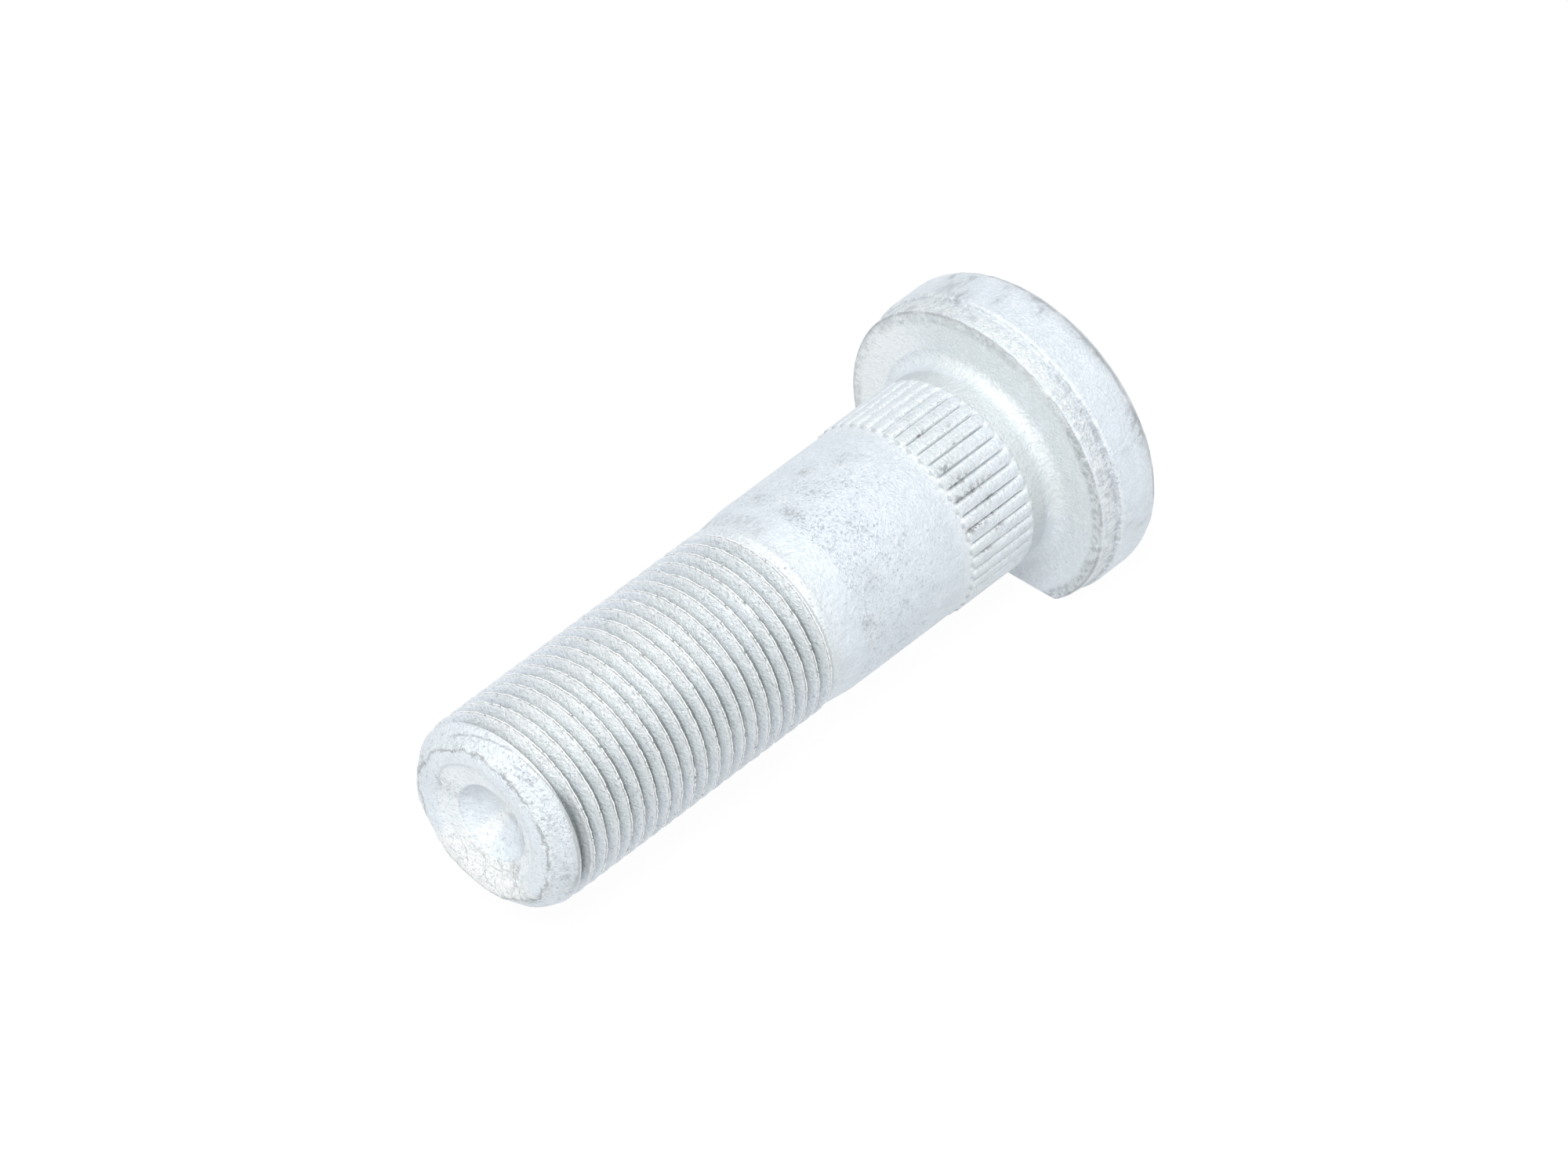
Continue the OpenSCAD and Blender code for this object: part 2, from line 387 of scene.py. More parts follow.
# %% List the patches
# each patch: x, turn, half length, half width in degrees, strength
GREY_PATCHES = [
    (-6.1, -25, 0.8, 9, 1.0), (-6.4, 5, 0.5, 8, 0.8), (-6.0, 13, 0.4, 5, 0.7),
    (-5.5, 27, 0.7, 2.5, 0.9), (-6.2, 32, 0.5, 4, 0.9), (-4.1, 41, 0.9, 1.4, 0.9),
    (-5.7, 43, 0.4, 2, 0.6), (-5.3, 67, 0.6, 3, 0.9), (-5.4, 58, 0.5, 3, 0.8),
    (-2.6, 54, 1.2, 4, 0.9), (-3.6, 61, 1.6, 6, 0.7), (-1.8, 62, 0.8, 5, 0.8),
    (-0.6, 70, 0.5, 4, 0.9), (-1.2, 42, 0.5, 2, 0.6), (-5.0, -62, 0.9, 1.4, 0.7),
    (-2.9, -58, 0.7, 1.4, 0.7), (-4.0, -30, 0.6, 1.6, 0.6), (58.9, -62, 0.7, 17, 0.6),
    (59.1, 60, 0.5, 14, 0.3), (58.9, 5, 0.5, 13, 0.65), (59.3, -18, 0.3, 12, 0.7),
    (59.6, 110, 0.4, 14, 0.6), (59.6, -100, 0.4, 12, 0.7), (15.0, 45, 0.9, 4, 0.7),
    (17.8, 56, 0.6, 3, 0.9), (14.0, 40, 0.4, 2, 0.8), (19.4, 40, 0.8, 6, 0.3),
    (22.8, 36, 0.8, 7, 0.6), (22.6, 62, 0.7, 5, 0.5), (15.2, -46, 0.5, 1.6, 0.9),
    (16.4, -38, 0.4, 1.6, 0.7), (12.7, -20, 0.3, 2, 0.6), (18.8, -42, 0.3, 2, 0.8),
    (23.2, -38, 0.5, 4, 0.6), (21.2, -20, 0.9, 8, 0.4), (19.5, 10, 1.2, 8, 0.4)]
WORN_TEETH = [
    (8.4, 27.9, 0.6, 1.5, 1.0), (8.0, 39.9, 0.5, 1.35, 0.9), (9.3, 4.9, 1.0, 1.8, 0.9),
    (8.8, -4.1, 1.6, 1.95, 0.9), (8.2, -12.1, 1.8, 1.95, 1.0), (7.4, -21.1, 1.4, 1.8, 0.9),
    (9.4, -30.1, 1.6, 2.1, 0.9), (7.2, -38.1, 0.8, 1.5, 0.6), (9.0, -47.1, 1.2, 1.65, 0.6),
    (6.0, -12.1, 0.6, 0.9, 0.7), (6.6, 12.9, 0.7, 1.05, 0.7), (4.6, 31.9, 0.3, 1.125, 0.6),
    (7.0, -30.1, 0.9, 0.9, 0.9), (9.9, -12.1, 0.5, 1.8, 0.9), (6.2, 21.9, 0.6, 0.9, 0.5)]
print("grey patches:", len(GREY_PATCHES), "worn places:", len(WORN_TEETH))


# %% Mark the head
def mark_head(v, x, r, turn):
    """Dull film beside the step and on the front rim, a chalky bearing face, and lines round the front and
    back rims, the front one stronger at both sides.
    """
    if r > 13 and -2.5 < x < 0.05:
        beside_step = (0.15 + 0.7 * smooth((20 - turn) / 20)) * band(x, -1.9, 0.6)
        lower_side = 0.5 * smooth((16 - turn) / 25) * band(x, -1.0, 1.5)
        upper_side = 0.45 * smooth((turn - 35) / 20)
        front = 0.2 + 0.6 * smooth(-turn / 15) + 0.4 * near(turn, 32, 14, 14)
        v[dull] = max(v[dull], beside_step, lower_side, upper_side, front * smooth(1 + x / 0.22))
    if abs(x) < 0.02 and 10.4 < r < 13.5:
        v[white] = 0.55 * smooth((turn - 55) / 30)
    if -0.13 < x < -0.02 and r > 10.9:
        v[edge] = 0.3 + 0.6 * smooth((turn - 25) / 20) + 0.4 * smooth((-turn - 10) / 15)
    if -6.7 < x < -6.3 and r > 10.9:
        v[edge] = 0.6 * near(turn, -10, 65, 25)


# %% Mark the neck, the knurl and the shank
def mark_shank(v, x, r, turn):
    """Painted shade on the neck, strongest at its sides, teeth with worn spots, and a dull taper on one
    side.
    """
    if 1.25 < x < KNURL_FROM and r < 9.4:
        # painted shade on the neck: least on the top side, more towards both sides
        v[edge] = 0.22 + 0.5 * (1 - near(turn, 14, 75, 50))
        v[edge] += 0.22 * smooth((turn - 40) / 20) + 0.18 * near(turn, -13, 14, 14)
    if KNURL_FROM < x < KNURL_TO:
        # the painted shade in the grooves is a little weaker on the lower side
        v[low] *= 1 - 0.012 * smooth(-turn / 15) - 0.008 * smooth((-turn - 30) / 20)
        v[wear] = strongest(WORN_TEETH, x, turn)
    if TAPER_FROM + 0.1 < x < THREAD_FROM + 0.1:
        v[dull] = max(v[dull], 0.5 * smooth((x - 24) / 1.5) * smooth((turn - 30) / 15))


# %% Mark the thread and the chamfer
def mark_thread(v, x, r, turn):
    """Painted shade on the sides, painted light on the top side, painted shade in the last groove on the
    lower side, and a greyer chamfer, greyest on the lower side.
    """
    if 27 < x < 58.2:
        # painted shade on both sides, and painted light and weaker root shade on the top side
        v[edge] = 0.32 * max(near(turn, -50, 50, 35), near(turn, 52, 30, 20))
        v[white] = (0.1 + 0.3 * smooth((x - 33) / 8)) * near(turn, 22, 40, 25)
        v[low] *= 1 - 0.055 * near(turn, 22, 45, 25)
        if 56.4 < x < 58.1 and r < 8.78:
            # painted shade in the last groove, on the lower side
            v[low] = max(v[low], 0.8 * near(turn, -45, 50, 30))
            v[edge] = max(v[edge], near(turn, -45, 48, 30))
    if 58.2 < x < 59.6 and r > 7.3:
        v[dull] = max(v[dull], 0.3 - 0.2 * smooth(turn / 20))


# %% Mark the end face
def mark_end(v, r, turn):
    """A painted highlight in the dimple and on one side of its rim, painted shade on two sides of its wall
    and round the rest of the rim, a line round the ring of the dish, and chalky flakes at the bottom.
    """
    if r < 3.5:
        # a painted highlight in a wedge across the dimple and on its wall near the top, and painted shade
        # on two sides of the wall
        sideways = r * math.sin(math.radians(turn + 8))
        downward = -r * math.cos(math.radians(turn + 8))
        off_wedge = abs(sideways + 0.3 * max(0.0, downward))
        wedge = 0.75 * smooth((0.8 + 0.16 * downward - off_wedge) / 0.8) * smooth((3.5 - r) / 0.4)
        v[white] = max(wedge, 0.9 * smooth((r - 1.2) / 1.2) * near(turn, -15, 45, 22))
        v[edge] = max(0.5 * smooth((r - 1.8) / 1.2) * near(turn, 75, 55, 30),
                      0.25 * smooth((r - 1.5) / 1.2) * near(turn, -72, 28, 22))
    elif r < 3.68:
        # painted shade round the rim, and a painted highlight on its side near the top
        v[edge] = 0.35 * (1 - near(turn, -15, 42, 20))
        v[white] = 0.7 * near(turn, -15, 42, 20)
    else:
        flakes = near(turn, -145, 62, 25)
        v[white] = max(flakes * smooth((7.1 - r) / 0.3), 0.42 if r < 5.2 else 0)
        v[rough] = max(v[rough], flakes)
        if 5.2 < r < 5.4:
            v[edge] = 0.3 * near(turn, 30, 100, 30)


# %% [markdown]
# The end of this bolt took a knock or two: the lip is pushed out on one side, the ring
# inside it too, and the dimple was pressed a little off centre.

# %% Push the threaded end out of round
DIMPLE_OFF = Vector((0, 0.42, 0.15))


def pushed(p, r, turn):
    """How far a point of the threaded end lies from where a round end would have it."""
    out_by = 0.3 * near(turn, 118, 45, 25) * smooth((r - 6.2) / 0.8) * smooth((p.x - 59.42) / 0.1)
    out_by += 0.45 * near(turn, 65, 50, 30) * band(r, 5.2, 1.1)
    return Vector((0, p.y, p.z)) * (out_by / max(r, 0.1)) + DIMPLE_OFF * smooth((5.2 - r) / 1.5)


# %% [markdown]
# ## An uneven skin
# A forged and rolled part is nowhere quite smooth. Each point moves along its normal by a
# little noise: broad waves of some hundredths of a millimetre everywhere, rougher grain on
# the narrow band of the head and on the lip, and small nicks along the crests. A Displace
# modifier could do it, but a loop over the points knows on which part of the bolt it is.


# %% Noise in real sizes
def grain(p, size, seed=0.0):
    """Smooth noise from about -1 to 1 with bumps of the given size."""
    return noise.noise(Vector((p.x / size + seed, p.y / size - seed, p.z / size + 2 * seed)))


# %% Mark and roughen the skin
low, crest, seam, edge, white, rough, wear, dull = paint_layers(skin)
skin.normal_update()
moves, slides, pushes = [], [], []
for v in skin.verts:
    p, x, r = v.co, v.co.x, math.hypot(v.co.y, v.co.z)
    turn = turn_from_top(p)
    on_rim = band(x, -1.0, 1.5) if r > 12.8 and x < 0.2 else 0.0
    on_step = band(x, -2.25, 0.5) if r > 12 else 0.0
    on_back = band(x, -6.6, 1.2) if r > 11.5 else 0.0
    on_lip = band(x, 59.65, 0.35) if r > 6.4 else 0.0
    v[rough] = max(v[rough], on_rim, 0.5 * on_step, 0.6 * on_lip, 0.5 * on_back)
    if r > 12.5 or x > 10:
        v[dull] = strongest(GREY_PATCHES, x, turn, 2)
    mark_head(v, x, r, turn)
    mark_shank(v, x, r, turn)
    mark_thread(v, x, r, turn)
    if x > 57 and r < 7.3:
        mark_end(v, r, turn)
    if x > 57 and r < 8.2:
        pushes.append((v, pushed(p, r, turn)))
    m = 0.012 * grain(p, 4.0) + 0.008 * grain(p, 1.4, 3)
    m += 0.045 * on_rim * grain(p, 0.6, 5) + 0.03 * on_step * grain(p, 0.8, 7)
    m += 0.04 * on_back * grain(p, 1.1, 9)
    m += on_lip * (0.09 * grain(p, 0.9, 11) + 0.05 * grain(p, 0.4, 13))
    if v[crest] > 0.4 and x > THREAD_FROM:
        m += 0.05 * grain(p, 0.45, 15) - 0.2 * max(0.0, grain(p, 0.9, 17) - 0.25)
        slides.append((v, 0.06 * grain(p, 0.5, 21)))
    if KNURL_FROM < x < KNURL_TO:
        m += 0.012 * grain(Vector((p.x * 0.5, p.y, p.z)), 0.6, 19)
    if abs(x + HEAD_H) < 0.01 or r < 0.5 or p.z < -FLAT + 0.01 and x < 0:
        # the flat, the back and the bottom of the dimple move only inwards, and half as far
        m = min(m, 0) * 0.5
    moves.append(m)
print("largest move:", round(max(map(abs, moves)), 3), "mm")

# %% Move the points
for v, m in zip(skin.verts, moves):
    v.co += v.normal * m
for v, m in slides:
    v.co.x += m
for v, by in pushes:
    v.co += by
print("slid:", len(slides), "pushed:", len(pushes))

# %% [markdown]
# ## The bolt's object
# Blender works in metres, so the mesh is made a thousand times smaller. It is shaded smooth,
# and sharp only where faces meet at a steep angle; a Bevel modifier would round those edges
# too, but would need far more faces.

# %% Make the bolt's object
SHARP_FROM = math.radians(38)
bmesh.ops.scale(skin, vec=(0.001, 0.001, 0.001), verts=skin.verts)
for f in skin.faces:
    f.smooth = True
mesh = bpy.data.meshes.new("bolt_skin")
skin.to_mesh(mesh)
skin.free()
mesh.set_sharp_from_angle(angle=SHARP_FROM)
bolt = bpy.data.objects.new("bolt_skin", mesh)
bpy.context.scene.collection.objects.link(bolt)
triangles = sum(len(p.vertices) - 2 for p in mesh.polygons)
print("bolt_skin:", triangles, "triangles")
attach(bolt, "root")
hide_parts("wheel_bolt")

# %% [markdown]
# ## The zinc coat
# The coat is a thin satin layer, paler than bare steel: cloudy bluish white, with fine
# grey specks where it is thin. A photograph could be wrapped round the bolt, but noise in
# real sizes has no seams and stays sharp. The effects are small node groups with named
# sockets, so that each can be changed by itself: clouds, specks, scratches, ragged lines
# and cracks.


# %% Helpers for nodes
def node(tree, kind, ins=None, **settings):
    """Adds a node, sets its options and fills or links its sockets."""
    n = tree.nodes.new(kind)
    for key, value in settings.items():
        setattr(n, key, value)
    for key, value in (ins or {}).items():
        if isinstance(value, bpy.types.NodeSocket):
            tree.links.new(value, n.inputs[key])
        else:
            n.inputs[key].default_value = value
    return n


def calc(tree, kind, a, b, clamp=False):
    """One Math node; a and b are sockets or numbers."""
    return node(tree, "ShaderNodeMath", {0: a, 1: b}, operation=kind, use_clamp=clamp).outputs[0]


def between(tree, value, low_end, high_end):
    """Maps low_end..high_end to a soft 0..1."""
    return node(tree, "ShaderNodeMapRange", {"Value": value, "From Min": low_end, "From Max": high_end},
                interpolation_type="SMOOTHSTEP").outputs[0]


def mottle(tree, place, scale, detail, roughness=0.5):
    """Noise at a place, with values from 0 to 1 and mostly near 0.5."""
    return node(tree, "ShaderNodeTexNoise", {"Vector": place, "Scale": scale, "Detail": detail,
                "Roughness": roughness})


def new_group(name, **numbers):
    """A shader node group that has a place and some numbers as inputs and puts out one share."""
    g = bpy.data.node_groups.new(name, "ShaderNodeTree")
    g.interface.new_socket("Vector", in_out="INPUT", socket_type="NodeSocketVector")
    for label, value in numbers.items():
        g.interface.new_socket(label, in_out="INPUT", socket_type="NodeSocketFloat").default_value = value
    g.interface.new_socket("Fac", in_out="OUTPUT", socket_type="NodeSocketFloat")
    return g, g.nodes.new("NodeGroupInput").outputs, g.nodes.new("NodeGroupOutput").inputs["Fac"]


# %% Clouds
clouds, given, result = new_group("clouds", Size=3.0)
scale = calc(clouds, "DIVIDE", 1000.0, given["Size"])
cloud = mottle(clouds, given["Vector"], scale, 4.0, 0.6)
clouds.links.new(cloud.outputs[0], result)

# %% Specks
specks, given, result = new_group("specks", Size=0.5, Share=0.5)
scale = calc(specks, "DIVIDE", 1000.0, given["Size"])
fine = mottle(specks, given["Vector"], scale, 3.0, 0.65)
start = calc(specks, "SUBTRACT", 0.74, calc(specks, "MULTIPLY", given["Share"], 0.2))
stop = calc(specks, "ADD", start, 0.08)
specks.links.new(between(specks, fine.outputs[0], start, stop), result)

# %% Scratches
scratches, given, result = new_group("scratches", Share=0.3)
turned = node(scratches, "ShaderNodeMapping", {"Vector": given["Vector"],
              "Rotation": (0.4, 0.5, 0.3), "Scale": (260.0, 2600.0, 2600.0)})
hairs = mottle(scratches, turned.outputs[0], 1.0, 1.0)
hairs = between(scratches, hairs.outputs[0], 0.66, 0.74)
scratches.links.new(calc(scratches, "MULTIPLY", hairs, given["Share"]), result)

# %% Ragged lines
ragged, given, result = new_group("ragged_line", Value=0.0, Centre=0.0, Width=0.1, Wobble=0.2)
sway = mottle(ragged, given["Vector"], 480.0, 5.0, 0.75).outputs[0]
gaps = mottle(ragged, given["Vector"], 420.0, 2.0).outputs[0]
moved = calc(ragged, "MULTIPLY", calc(ragged, "SUBTRACT", sway, 0.5), given["Wobble"])
away = calc(ragged, "SUBTRACT", given["Value"], given["Centre"])
away = calc(ragged, "ABSOLUTE", calc(ragged, "ADD", away, moved), 0.0)
share = calc(ragged, "SUBTRACT", 1.0, calc(ragged, "DIVIDE", away, given["Width"]), clamp=True)
share = calc(ragged, "MULTIPLY", share, between(ragged, gaps, 0.34, 0.5))
ragged.links.new(share, result)

# %% Cracks
cracks, given, result = new_group("cracks", Size=1.0)
drift = mottle(cracks, given["Vector"], 900.0, 3.0)
bent = node(cracks, "ShaderNodeVectorMath", {0: drift.outputs[1], 1: (0.0006, 0.0006, 0.0006)},
            operation="MULTIPLY").outputs[0]
bent = node(cracks, "ShaderNodeVectorMath", {0: given["Vector"], 1: bent}, operation="ADD").outputs[0]
cells = node(cracks, "ShaderNodeTexVoronoi", {"Vector": bent,
             "Scale": calc(cracks, "DIVIDE", 1000.0, given["Size"])}, feature="DISTANCE_TO_EDGE")
cracks.links.new(between(cracks, cells.outputs["Distance"], 0.07, 0.0), result)
print("groups:", [g.name for g in bpy.data.node_groups])

# %% [markdown]
# ## Mixing the coat
# The finish is mixed like paint: one tone, then the next over it through a mask, from the
# widest clouds to the smallest worn spots. Masks come from three sources: noise, the place
# on the bolt, and the layers that were painted on the points.

# %% Begin the material
coat = bpy.data.materials.new("zinc_coat_satin")
coat.use_nodes = True
tree = coat.node_tree
tree.nodes.clear()


# short names for the sums and masks of the coat
def times(a, b, clamp=False):
    return calc(tree, "MULTIPLY", a, b, clamp)


def plus(a, b, clamp=False):
    return calc(tree, "ADD", a, b, clamp)


def larger(a, b):
    return calc(tree, "MAXIMUM", a, b)


def soft(value, low_end, high_end):
    return between(tree, value, low_end, high_end)


def vector(kind, a, b=(0, 0, 0)):
    """The outputs of one Vector Math node."""
    return node(tree, "ShaderNodeVectorMath", {0: a, 1: b}, operation=kind).outputs


def use(group, **ins):
    """One of the groups, with its own values."""
    return node(tree, "ShaderNodeGroup", ins, node_tree=group).outputs["Fac"]


def painted(name):
    """One of the layers that were painted on the points."""
    return node(tree, "ShaderNodeAttribute", attribute_name=name).outputs["Fac"]


def over(colour, share, tone):
    """Lays a tone over the colour; sockets 0, 6 and 7 are the share and the two colours."""
    top = tone if isinstance(tone, bpy.types.NodeSocket) else (*tone, 1)
    return node(tree, "ShaderNodeMix", {0: share, 6: colour, 7: top}, data_type="RGBA").outputs[2]


# %% Places on the bolt
place = node(tree, "ShaderNodeTexCoord").outputs["Object"]
axis = node(tree, "ShaderNodeSeparateXYZ", {"Vector": place}).outputs
along = times(axis[0], 1000.0)
across = node(tree, "ShaderNodeCombineXYZ", {"Y": axis[1], "Z": axis[2]}).outputs[0]
radius = times(vector("LENGTH", across)["Value"], 1000.0)
turned = calc(tree, "ARCTAN2", axis[2], axis[1])
# 1 on the side of the bolt that looks up at the viewer, -1 on the side below; the painted shade of the neck
# and the painted tone of the thread follow it
facing_up = vector("DOT_PRODUCT", vector("NORMALIZE", across)[0], (0, 0.61, 0.79))["Value"]

on_head = soft(radius, 12.5, 13.3)
on_neck = times(soft(along, -0.2, -0.05), soft(along, 11.0, 10.6))
on_shank = times(soft(along, 10.9, 19.0), soft(along, 24.2, 23.6))
on_thread = soft(along, 25.0, 28.0)
on_end = soft(along, 58.0, 58.4)
rough_zone, dull_zone = painted("rough"), painted("dull")

# %% Noise of the coat
broad = use(clouds, Vector=place, Size=9.0)
groups = use(clouds, Vector=place, Size=3.5)
small = use(clouds, Vector=place, Size=1.6)
tiny = use(clouds, Vector=place, Size=0.4)
film = use(clouds, Vector=place, Size=0.2)
streak = use(clouds, Vector=vector("MULTIPLY", place, (0.5, 1, 1))[0], Size=0.6)
share = 0.32
for mask, weight in ((on_shank, 0.42), (on_thread, 0.3), (rough_zone, 0.2), (dull_zone, 0.4),
                     (plus(groups, -0.5), 0.6)):
    share = plus(share, times(mask, weight))
grey = use(specks, Vector=place, Size=0.42, Share=share)
pin = use(specks, Vector=place, Size=0.24, Share=share)
scratch = use(scratches, Vector=place, Share=0.5)

# %% The tones of the coat
blue_white, deep_white = (0.785, 0.845, 0.91), (0.745, 0.81, 0.855)
colour = over((*deep_white, 1), soft(broad, 0.35, 0.65), blue_white)
# painted shade on the neck and the bearing face, strongest on the side that faces up, and half as strong
# from the knurl on
painted_neck_shade = times(on_neck, plus(0.3, times(0.45, soft(facing_up, 0.3, 0.75))))
painted_neck_shade = times(painted_neck_shade, plus(1.0, times(soft(along, 2.8, 3.2), -0.5)))
colour = over(colour, painted_neck_shade, (0.755, 0.79, 0.785))
# painted light on the thread: bluer below and at the sides, greyer on the side that faces up
thread_lit_tone = over((0.81, 0.86, 0.91, 1), soft(facing_up, 0.3, 0.85), (0.815, 0.855, 0.875))
colour = over(colour, on_thread, thread_lit_tone)
colour = over(colour, on_end, (0.79, 0.85, 0.895))
colour = over(colour, soft(small, 0.5, 0.85), (0.86, 0.90, 0.94))
colour = over(colour, times(soft(film, 0.62, 0.38), 0.16), (0.40, 0.44, 0.46))
colour = over(colour, times(soft(streak, 0.6, 0.4), 0.10), (0.42, 0.46, 0.50))

# %% Chalky places, painted highlights, specks, grey patches and painted shade
chalk_and_highlight = times(rough_zone, soft(tiny, 0.36, 0.56))
colour = over(colour, times(chalk_and_highlight, 0.6), (0.93, 0.95, 0.94))
# the white layer gives chalk in several places, and painted highlights on the top of the thread, in the
# dimple and on its rim
chalk_and_highlight = times(painted("white"), soft(tiny, 0.3, 0.46))
colour = over(colour, times(chalk_and_highlight, 0.95), (0.94, 0.955, 0.95))
colour = over(colour, times(grey, 0.3), (0.45, 0.49, 0.53))
colour = over(colour, times(pin, 0.45), (0.40, 0.43, 0.46))
colour = over(colour, times(scratch, 0.4), (0.90, 0.93, 0.95))
film_off = times(dull_zone, soft(streak, 0.46, 0.56))
film_off = larger(times(film_off, 0.7), times(dull_zone, 0.12))
colour = over(colour, film_off, (0.36, 0.385, 0.41))
# painted shade on the neck, the sides of the thread, the last groove, the dimple and round the finger ends,
# and lines round the head and the ring of the dish
colour = over(colour, times(painted("edge"), 0.4), (0.36, 0.38, 0.385))

# %% Painted shade in the roots and grooves, and a painted highlight on the crests
lowness = painted("low")
# painted shade in the roots of the thread and the grooves of the knurl
painted_root_shade = plus(times(soft(lowness, 0.84, 0.96), 0.75), times(soft(lowness, 0.4, 0.95), 0.25))
colour = over(colour, painted_root_shade, (0.26, 0.29, 0.30))
crest_highlight_and_nicks = painted("crest")
# a painted highlight along the crests
colour = over(colour, times(crest_highlight_and_nicks, soft(tiny, 0.36, 0.5)), (0.98, 0.99, 0.99))
# the lap seam and nicks on the crests are darker
lap = times(soft(painted("seam"), 0.4, 0.8), soft(tiny, 0.40, 0.52))
chips = larger(times(lap, 0.9), times(crest_highlight_and_nicks, soft(tiny, 0.6, 0.66)))
colour = over(colour, times(chips, 0.8), (0.32, 0.34, 0.35))

# %% Ragged lines on the head, round the lip and where the last groove runs out
at_step = use(ragged, Vector=place, Value=along, Centre=-2.15, Width=0.1, Wobble=0.5)
at_back = use(ragged, Vector=place, Value=along, Centre=-6.6, Width=0.45, Wobble=1.2)
at_front = use(ragged, Vector=place, Value=along, Centre=-0.1, Width=0.15, Wobble=0.4)
head_lines = times(larger(times(at_step, 0.5), larger(at_back, at_front)), on_head)

lip_line = use(ragged, Vector=place, Value=radius, Centre=7.1, Width=0.17, Wobble=2.2)
split = times(use(cracks, Vector=place, Size=1.5), rough_zone)
split = times(split, soft(small, 0.42, 0.52))
lip_line = times(larger(lip_line, times(split, 0.5)), soft(along, 59.2, 59.4))

run_out = plus(along, times(turned, -0.88))
run_out = use(ragged, Vector=place, Value=run_out, Centre=57.25, Width=0.1, Wobble=0.3)
reach = times(soft(turned, 0.3, 0.7), soft(turned, 2.3, 1.9))
run_out = times(run_out, times(reach, 0.7))

all_lines = larger(times(head_lines, 0.75), larger(lip_line, run_out))
colour = over(colour, times(all_lines, 0.66), (0.29, 0.3, 0.31))

# %% Worn teeth
worn = times(painted("wear"), soft(tiny, 0.46, 0.54), clamp=True)
colour = over(colour, times(worn, 0.85), (0.2, 0.2, 0.215))

# %% Roughness and bump
rough_value = node(tree, "ShaderNodeMapRange", {"Value": small, "From Min": 0.3, "From Max": 0.7,
                   "To Min": 0.5, "To Max": 0.64}).outputs[0]
rough_value = plus(rough_value, times(grey, 0.2), clamp=True)

coarse = plus(times(rough_zone, 1.4), plus(times(on_thread, 0.5), 1.7))
height = times(use(clouds, Vector=place, Size=0.3), coarse)
for mask, weight in ((streak, 1.2), (grey, -0.6), (pin, -0.5), (film_off, -0.8), (chips, -0.8),
                     (all_lines, -1.0)):
    height = plus(height, times(mask, weight))
bump = node(tree, "ShaderNodeBump", {"Height": height, "Strength": 0.9, "Distance": 0.00008})

# %% Finish the material
shader = node(tree, "ShaderNodeBsdfPrincipled", {"Base Color": colour, "Roughness": rough_value,
              "Metallic": 0.45, "Normal": bump.outputs[0]})
node(tree, "ShaderNodeOutputMaterial", {"Surface": shader.outputs[0]})
mesh.materials.append(coat)
print("material:", coat.name, len(tree.nodes), "nodes")

# %% [markdown]
# ## Floor, light and camera
# A white table in soft light from above. The floor shines by itself for the camera and for
# reflections, and keeps a faint shadow of the bolt; the lamps stay at a plain level. More
# lamp light would make the table as white, but it would wash out the pale coat.

# %% Lay the floor
FLOOR_Z = -(FLAT + 0.1) / 1000      # just under the flat that the bolt lies on
bm = bmesh.new()
bmesh.ops.create_grid(bm, x_segments=1, y_segments=1, size=6.0)
bmesh.ops.translate(bm, vec=(0, 0, FLOOR_Z), verts=bm.verts)
floor_mesh = bpy.data.meshes.new("floor")
bm.to_mesh(floor_mesh)
bm.free()
floor = bpy.data.objects.new("floor", floor_mesh)
bpy.context.scene.collection.objects.link(floor)
print("floor at", round(FLOOR_Z, 4), "m")


# %% Make the table white
def white_ray(tree):
    """1 for the camera, reflections and glass, 0 for light that falls on the object."""
    path = node(tree, "ShaderNodeLightPath")
    seen = calc(tree, "ADD", path.outputs["Is Camera Ray"], path.outputs["Is Glossy Ray"])
    return calc(tree, "ADD", seen, path.outputs["Is Transmission Ray"], clamp=True)


paper = bpy.data.materials.new("white_table")
paper.use_nodes = True
table = paper.node_tree
table.nodes.clear()
matt = node(table, "ShaderNodeBsdfDiffuse", {"Color": (0.9, 0.9, 0.9, 1)})
glow = node(table, "ShaderNodeEmission", {"Color": (1, 1, 1, 1), "Strength": 1.02})
mixed = node(table, "ShaderNodeMixShader", {0: calc(table, "MULTIPLY", white_ray(table), 0.94),
             1: matt.outputs[0], 2: glow.outputs[0]})
node(table, "ShaderNodeOutputMaterial", {"Surface": mixed.outputs[0]})
floor_mesh.materials.append(paper)

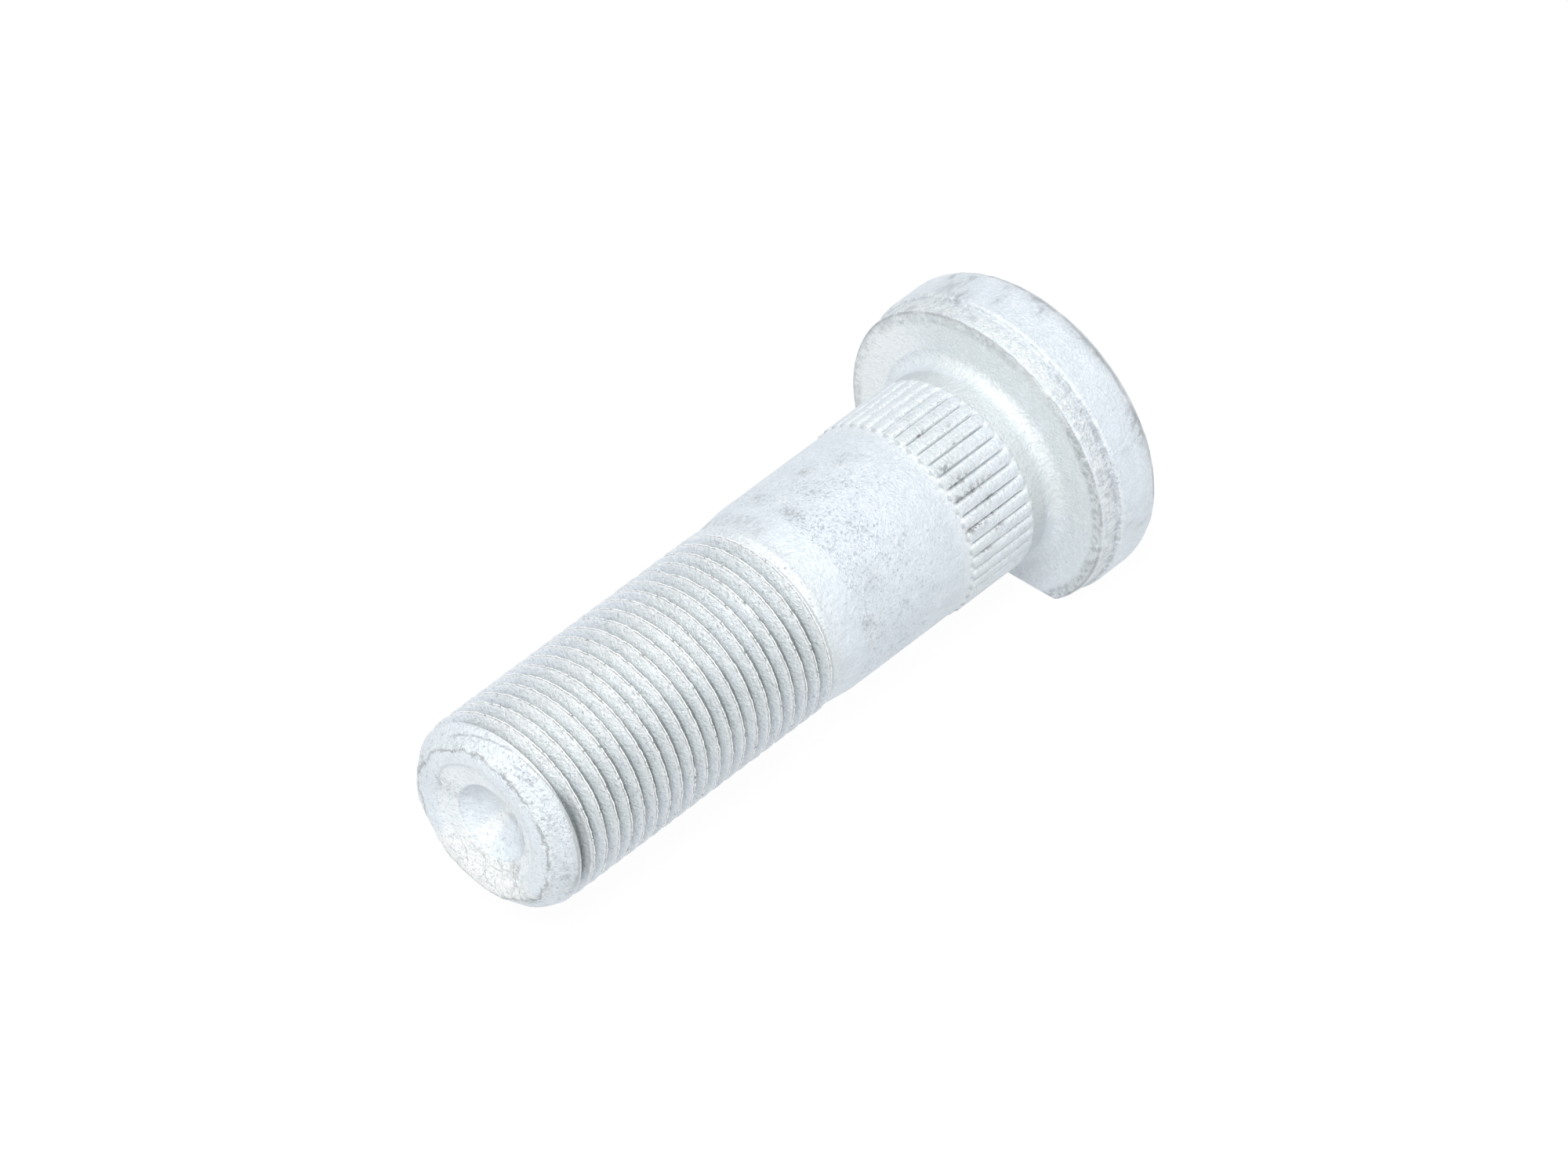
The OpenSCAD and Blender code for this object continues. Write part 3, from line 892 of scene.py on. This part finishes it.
# %% Light it softly from above
world = bpy.data.worlds.new("studio")
bpy.context.scene.world = world
world.use_nodes = True
studio = world.node_tree
studio.nodes.clear()
plain = node(studio, "ShaderNodeBackground", {"Color": (0.975, 0.99, 1.0, 1), "Strength": 0.6})
seen = node(studio, "ShaderNodeBackground", {"Color": (1, 1, 1, 1), "Strength": 1.0})
mixed = node(studio, "ShaderNodeMixShader", {0: white_ray(studio), 1: plain.outputs[0], 2: seen.outputs[0]})
node(studio, "ShaderNodeOutputWorld", {"Surface": mixed.outputs[0]})


def soft_lamp(name, place, target, size, power):
    """A round area lamp that looks at a target."""
    data = bpy.data.lights.new(name, "AREA")
    data.shape, data.size, data.energy = "DISK", size, power
    lamp = bpy.data.objects.new(name, data)
    away = (Vector(place) - Vector(target)).normalized()
    lamp.matrix_world = Matrix.Translation(place) @ away.to_track_quat("Z", "Y").to_matrix().to_4x4()
    bpy.context.scene.collection.objects.link(lamp)


soft_lamp("top_light", (0.42, 0.24, 0.82), (0.02, 0, 0), 0.45, 6.0)
soft_lamp("side_light", (0.55, -0.75, 0.25), (0.02, 0, 0), 0.5, 0.2)

# %% [markdown]
# The camera stands far away with a long lens, as for a catalogue picture. Its place and its
# turn were found by fitting the bolt's own circles and edges to where the picture has them,
# so they are written as they came out, and not as round numbers.

# %% Set the camera
CAMERA_AT = (0.601380, 0.549158, 0.705226)
FOCAL, SENSOR = 296.72, 36.0
forward = Vector((-0.54325, -0.51646, -0.66193)).normalized()
right = Vector((-0.67229, 0.73985, -0.02549)).normalized()
up = right.cross(forward).normalized()
lens = bpy.data.cameras.new("camera")
lens.lens, lens.sensor_width, lens.sensor_fit = FOCAL, SENSOR, "HORIZONTAL"
lens.clip_start, lens.clip_end = 0.05, 50.0
camera = bpy.data.objects.new("camera", lens)
facing = Matrix((right, up, -forward)).transposed().to_4x4()
camera.matrix_world = Matrix.Translation(CAMERA_AT) @ facing
bpy.context.scene.collection.objects.link(camera)
bpy.context.scene.camera = camera
bpy.context.scene.view_settings.view_transform = "Standard"
print("camera at", CAMERA_AT, "lens", FOCAL, "mm")
